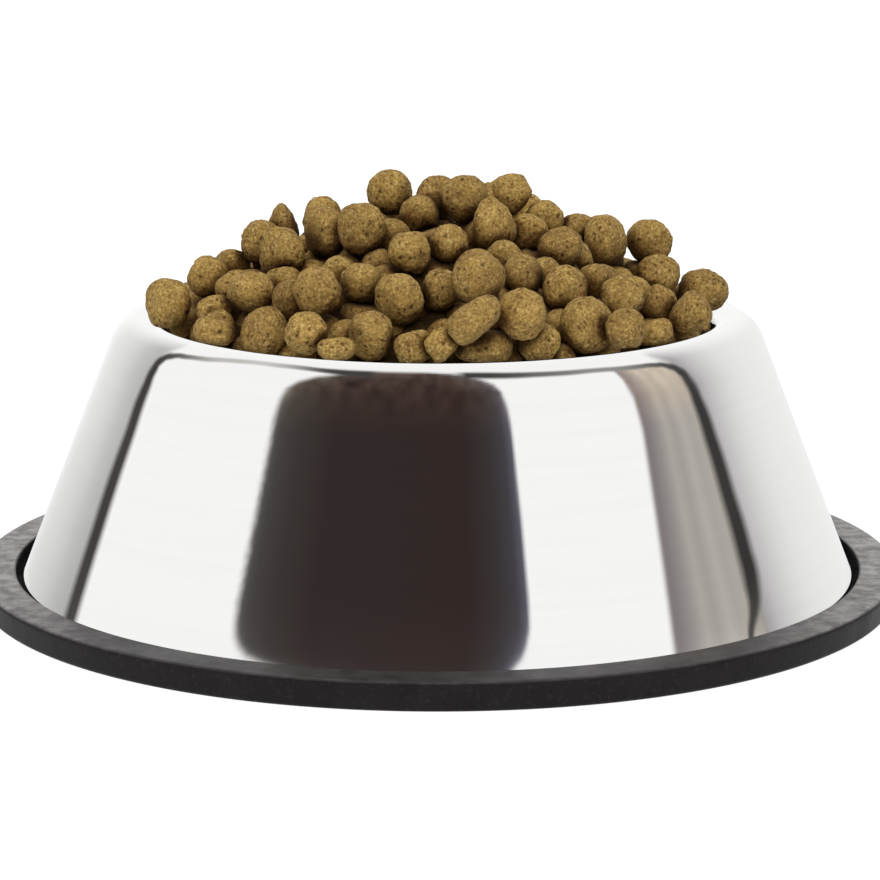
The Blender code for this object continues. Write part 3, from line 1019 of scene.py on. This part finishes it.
def inside_by(outline, places):
    """How far inside an outline each place lies, below nothing outside it."""
    near = np.full(len(places), np.inf)
    within = np.zeros(len(places), dtype=bool)
    for start, end in zip(outline, np.roll(outline, -1, axis=0)):
        way = end - start
        gap = places - start
        share = np.clip(gap @ way / (way @ way), 0.0, 1.0)
        near = np.minimum(near, np.linalg.norm(gap - share[:, None] * way, axis=1))
        if start[1] != end[1]:
            spans = (start[1] > places[:, 1]) != (end[1] > places[:, 1])
            meets = start[0] + way[0] * (places[:, 1] - start[1]) / way[1]
            within ^= spans & (places[:, 0] < meets)
    return np.where(within, near, -near)


def reach_at(outline, y):
    """The least and the most x of an outline at a y."""
    y = min(max(y, outline[:, 1].min() + 0.00001), outline[:, 1].max() - 0.00001)
    meets = []
    for start, end in zip(outline, np.roll(outline, -1, axis=0)):
        if (start[1] > y) != (end[1] > y):
            meets.append(start[0] + (end[0] - start[0]) * (y - start[1]) / (end[1] - start[1]))
    return min(meets), max(meets)


def panel(name, outline, soft, across, upward, distance=CARD_DISTANCE, ragged=0.0, mottled=0.0):
    """A card laid out by where it shows on the bowl's side.

    The outline is in degrees round the bowl and millimetres up its side. Soft is the width of the
    fading edge at the left, the right and the top. Across gives the colour from left to right, and
    upward tints that from bottom to top. Ragged roughens the left edge, and mottled the top.
    """
    shape = np.array(outline, dtype=float) * (DEGREE, 0.001)
    margin = max(soft)
    low = shape.min(0) - margin
    high = shape.max(0) + margin
    columns, lines = (np.ceil((high - low) / CARD_STEP)).astype(int)
    xs = np.linspace(low[0], high[0], columns + 1)
    ys = np.union1d(np.linspace(low[1], high[1], lines + 1), [SKIRT_LENGTH])
    deep = inside_by(shape, np.array([(x, y) for y in ys for x in xs])).reshape(len(ys), -1)
    rows = []
    shades = []
    for j, y in enumerate(ys):
        left, right = reach_at(shape, y)
        up = (y - shape[:, 1].min()) / np.ptp(shape[:, 1])
        tint = between_stops(upward, up)
        row = []
        shade = []
        for i, x in enumerate(xs):
            share = min(max((x - left) / (right - left), 0.0), 1.0)
            spot = Vector((x, y, 0.0))
            rough = noise.noise(spot / ROUGH_SIZE) + 0.6 * noise.noise(spot / ROUGH_FINE_SIZE)
            fade = soft[0] + (soft[1] - soft[0]) * share
            fade += (soft[2] - fade) * min(max(up * 6 - 5, 0.0), 1.0)
            height = min(max(10 - 11 * up, 0.0), max(8 * up - 1.4, 0.0), 1.0)
            rough *= ragged * (1 - share) ** 4 * height
            solid = min(max(0.5 + (deep[j, i] + rough) / fade, 0.0), 1.0)
            solid *= solid * (3 - 2 * solid)
            spread = mottled * min(max(up * 8 - 6.6, 0.0), 1.0)
            blotch = noise.noise(spot / BLOTCH_SIZE) + 0.5 * noise.noise(spot / BLOTCH_FINE_SIZE)
            blotch = 1 + spread * blotch
            colour = between_stops(across, share)
            row.append(mirrored(x / DEGREE, y, distance))
            shade.append((*(a * b * blotch for a, b in zip(colour, tint)), solid))
        rows.append(row)
        shades.append(shade)
    card(name, rows, shades)


def ribbon(name, stations, distance):
    """A narrow card along a curve on the bowl's side, which fades at its edges and its end.

    Each station is a turn in degrees, a climb and a width in millimetres, and a grey.
    """
    stops = np.array(stations) * (DEGREE, 0.001, 0.001, 1.0)
    run = np.concatenate(((0.0,), np.cumsum(np.hypot(*np.diff(stops[:, :2], axis=0).T))))
    steps = round(run[-1] / RIBBON_STEP)
    rows = []
    shades = []
    for j in range(steps + 1):
        here = [smooth_between(run, stops[:, k], run[-1] * j / steps) for k in range(4)]
        next_place = run[-1] * j / steps + RIBBON_STEP
        ahead = [smooth_between(run, stops[:, k], next_place) for k in range(2)]
        way = Vector((ahead[0] - here[0], ahead[1] - here[1])).normalized()
        ending = min(1.0, (steps - j) * RIBBON_STEP / RIBBON_END)
        row = []
        shade = []
        for offset in np.linspace(-RIBBON_REACH, RIBBON_REACH, RIBBON_LINES):
            x = here[0] - way.y * offset * here[2]
            y = here[1] + way.x * offset * here[2]
            solid = min(1.0, (RIBBON_REACH - abs(offset)) / RIBBON_SOFT) * ending
            row.append(mirrored(x / DEGREE, y, distance))
            shade.append((*grey(here[3], RIBBON_WARMTH), solid))
        rows.append(row)
        shades.append(shade)
    card(name, rows, shades)


def smooth_between(places, values, place):
    """A smooth curve through values at places, read at a place."""
    i = int(np.clip(np.searchsorted(places, place) - 1, 0, len(places) - 2))
    slopes = np.gradient(values, places)
    span = places[i + 1] - places[i]
    t = (place - places[i]) / span
    low = values[i] + span * t * slopes[i]
    high = values[i + 1] - span * (1 - t) * slopes[i + 1]
    share = t * t * (3 - 2 * t)
    return float(low * (1 - share) + high * share)


def cards():
    """What the polished side mirrors: a doorway, a frame at each side and a beige wall."""
    panel(
        "dark_doorway",
        [
            (-26.9, 14), (-26.8, 9.5), (-26.5, 6.6), (-25.7, 4.4), (-24.5, 2.7), (-22.5, 1.6),
            (-19.0, 0.4), (-17.0, -1), (-16.0, -4), (8.2, -4), (8.6, 0.6), (9.4, 2.2),
            (10.4, 4.0), (11.1, 6.4), (11.7, 10), (11.9, 16), (11.8, 32), (11.5, 48), (11.3, 54),
            (10.9, 57.5), (10.1, 60.6), (9.0, 62.2), (7.3, 63.3), (5.0, 64.3), (2.0, 65.2),
            (-2.0, 65.5), (-11.0, 65.5), (-14.0, 65.2), (-16.5, 64.2), (-20.0, 63.3),
            (-23.0, 61.9), (-24.8, 60.2), (-25.7, 58), (-26.2, 54),
        ],
        (0.0024, 0.0010, 0.0010),
        [
            (0.0, (0.100, 0.094, 0.088)), (0.05, (0.064, 0.057, 0.053)),
            (0.13, (0.048, 0.041, 0.038)), (0.27, (0.036, 0.0265, 0.025)),
            (0.80, (0.034, 0.0235, 0.0225)), (0.90, (0.045, 0.038, 0.038)),
            (0.96, (0.060, 0.056, 0.066)), (1.0, (0.120, 0.114, 0.150)),
        ],
        [
            (0.0, (1.5, 1.45, 1.5)), (0.10, (1.15, 1.15, 1.15)), (0.30, grey(1.0)),
            (0.80, grey(1.0)), (0.92, (1.45, 1.30, 1.15)), (0.97, (1.9, 1.75, 1.5)),
            (1.0, (3.6, 3.5, 3.1)),
        ],
        ragged=0.0005,
        mottled=0.6,
    )
    panel(
        "beige_wall",
        [
            (30.7, -4), (33.3, 50), (32.9, 57), (31.6, 61), (30.2, 63.8), (39, 63.8), (43, 62),
            (45.6, 58), (47, 50), (47.2, -4),
        ],
        (0.0018, 0.0008, 0.0008),
        [
            (0.0, (0.235, 0.205, 0.210)), (0.08, (0.240, 0.215, 0.220)),
            (0.20, (0.315, 0.292, 0.285)), (0.34, (0.440, 0.415, 0.382)),
            (0.46, (0.385, 0.365, 0.340)), (0.60, (0.475, 0.446, 0.410)),
            (0.72, (0.425, 0.400, 0.368)), (0.84, (0.450, 0.424, 0.385)),
            (1.0, (0.385, 0.358, 0.320)),
        ],
        [
            (0.0, (1.25, 1.25, 1.25)), (0.15, grey(1.0)), (0.80, grey(1.0)),
            (0.90, (1.22, 1.12, 1.02)), (1.0, (1.55, 1.40, 1.25)),
        ],
        mottled=0.12,
    )
    ribbon(
        "frame_left",
        [
            (-56.2, -3, 4.2, 0.075), (-56.6, 20, 4.4, 0.056), (-56.2, 45, 4.1, 0.060),
            (-55.7, 55.5, 3.6, 0.055), (-55.0, 59.6, 2.8, 0.055), (-53.6, 62.2, 2.0, 0.065),
            (-51.4, 63.5, 1.5, 0.10), (-48.0, 64.1, 1.2, 0.20), (-43.3, 64.5, 1.2, 0.42),
            (-35.7, 65.4, 1.2, 0.55), (-27.6, 65.5, 1.2, 0.52), (-23.7, 65.4, 1.2, 0.34),
            (-20.0, 65.1, 1.2, 0.13), (-17.2, 64.9, 1.4, 0.07), (-14.0, 64.7, 1.6, 0.06),
            (-9.0, 64.6, 1.6, 0.05),
        ],
        FRAME_DISTANCE,
    )
    ribbon(
        "frame_right",
        [
            (43.3, -3, 1.3, 0.060), (44.3, 3, 1.6, 0.058), (46.0, 7.5, 2.8, 0.055),
            (46.9, 12.5, 4.2, 0.042), (47.25, 20, 4.5, 0.040), (47.2, 33, 4.4, 0.046),
            (46.9, 46, 4.1, 0.044), (46.3, 54, 3.5, 0.046), (45.3, 58.8, 2.7, 0.055),
            (43.9, 61.3, 2.0, 0.062), (41.9, 62.8, 1.4, 0.085), (39.2, 63.6, 1.1, 0.13),
            (36.0, 63.8, 1.1, 0.20), (31.8, 63.9, 1.1, 0.27), (28.0, 64.1, 1.1, 0.30),
            (22.0, 64.1, 1.2, 0.22), (16.0, 64.2, 1.3, 0.15), (11.0, 64.3, 1.5, 0.08),
            (7.0, 64.5, 1.6, 0.06), (2.0, 64.6, 1.6, 0.06),
        ],
        FRAME_DISTANCE,
    )
    panel(
        "grey_left",
        [(-91, -4), (-56, -4), (-55.5, 57), (-54, 61), (-52, 66.5), (-91, 66.5)],
        (0.001, 0.001, 0.0060),
        [
            (0.0, grey(0.98)), (0.18, grey(0.92)), (0.42, grey(0.80)), (0.60, grey(0.74)),
            (0.72, grey(0.67)), (0.82, grey(0.57)), (0.92, grey(0.50)), (1.0, grey(0.48)),
        ],
        [(0.0, grey(0.93)), (0.5, grey(1.0)), (1.0, grey(1.08))],
        WALL_DISTANCE,
    )
    panel(
        "grey_right",
        [(46.5, -4), (91, -4), (91, 66.5), (40, 66.5), (43, 61.8), (45.5, 58)],
        (0.001, 0.001, 0.0060),
        [
            (0.0, grey(0.30)), (0.04, (0.43, 0.405, 0.42)), (0.09, (0.56, 0.545, 0.555)),
            (0.15, grey(0.66)), (0.22, grey(0.76)), (0.30, grey(0.83)), (0.40, grey(0.87)),
            (0.55, grey(0.89)), (1.0, grey(0.92)),
        ],
        [(0.0, grey(1.0)), (1.0, grey(1.0))],
        WALL_DISTANCE,
    )


def world():
    made = bpy.data.worlds.new("studio")
    made.use_nodes = True
    bpy.context.scene.world = made
    tree = made.node_tree
    tree.nodes.clear()
    fill = add(tree, "Background")
    fill.inputs["Strength"].default_value = SKY_FILL
    white = add(tree, "Background")
    white.inputs["Strength"].default_value = 1.0
    for node in (fill, white):
        node.inputs["Color"].default_value = (1.0, 1.0, 1.0, 1.0)
    end_with(
        tree,
        "OutputWorld",
        seen_by(tree, "Is Camera Ray", "Is Glossy Ray", "Is Transmission Ray"),
        fill.outputs["Background"],
        white.outputs["Background"],
    )


def floor():
    """A white floor that keeps the object's shadow, pale where the camera and the steel see it."""
    bpy.ops.mesh.primitive_plane_add(size=FLOOR_SPAN, location=(0.0, 0.0, -FLOOR_DROP))
    plane = bpy.context.object
    plane.name = "floor"
    made, tree = bare_material("white_floor")
    plain = add(tree, "BsdfDiffuse")
    plain.inputs["Color"].default_value = (FLOOR_LIT, FLOOR_LIT, FLOOR_LIT, 1.0)
    shaded = add(tree, "BsdfDiffuse")
    shaded.inputs["Color"].default_value = (FLOOR_SHARE, FLOOR_SHARE, FLOOR_SHARE, 1.0)
    glow = add(tree, "Emission")
    glow.inputs["Strength"].default_value = FLOOR_GLOW
    both = add(tree, "AddShader")
    tree.links.new(shaded.outputs["BSDF"], both.inputs[0])
    tree.links.new(glow.outputs["Emission"], both.inputs[1])
    end_with(
        tree,
        "OutputMaterial",
        seen_by(tree, "Is Camera Ray", "Is Glossy Ray"),
        plain.outputs["BSDF"],
        both.outputs["Shader"],
    )
    plane.data.materials.append(made)
    plane.visible_glossy = False


def lamp(name, place, size, power):
    """A soft square lamp that faces the heap, which the steel doesn't mirror."""
    data = bpy.data.lights.new(name, "AREA")
    data.size = size
    data.energy = power
    made = in_scene(name, data)
    made.location = place
    aim = Vector(LIT_PLACE) - Vector(place)
    made.rotation_mode = "QUATERNION"
    made.rotation_quaternion = aim.to_track_quat("-Z", "Y")
    made.visible_camera = False
    made.visible_glossy = False


def camera():
    data = bpy.data.cameras.new("camera")
    data.sensor_width = SENSOR
    data.lens = LENS
    data.shift_x = CAMERA_SHIFT
    made = in_scene("camera", data)
    made.location = CAMERA_PLACE
    made.rotation_euler = (math.pi / 2 - CAMERA_PITCH, 0.0, 0.0)
    bpy.context.scene.camera = made


def main():
    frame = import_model()
    nodes = frame["nodes"]
    bpy.context.scene.view_settings.view_transform = "Standard"
    camera()
    world()
    floor()
    cards()
    lamp("key", KEY_PLACE, KEY_SIZE, KEY_POWER)
    lamp("top", TOP_PLACE, TOP_SIZE, TOP_POWER)

    bowl = polished_bowl(steel_finish())
    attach(bowl, BODY)
    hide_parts("steel_bowl")
    ring = foot_ring(rubber_finish())
    ring.visible_glossy = False
    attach(ring, BODY)
    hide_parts("rubber_ring")

    food = food_finish()
    loose = loose_names(nodes)
    bowl_tree = node_tree(nodes["steel_bowl"])
    back = back_places(bowl_tree)
    taken = [place for place, _ in back]
    loose_trees = [node_tree(nodes[name]) for name in loose]
    fill = fill_places(bowl_tree, loose_trees, taken, random.Random(5))
    balls = [(place, (2 * body.length + body.thickness) / 6) for place, body in back + fill]
    for name in loose:
        place, _, length, thickness = measured(nodes[name])
        balls.append((place, (2 * length + thickness) / 6))
    crowd = Crowd(balls)
    loose_pieces(nodes, crowd, food, random.Random(3))
    draw = random.Random(9)
    half = (len(back) + 1) // 2
    fused_pieces("heap_back_low", back[:half], crowd, food, draw)
    fused_pieces("heap_back_high", back[half:], crowd, food, draw)
    fused_pieces("heap_front_fill", fill, crowd, food, draw)
    bed(bed_finish())


main()
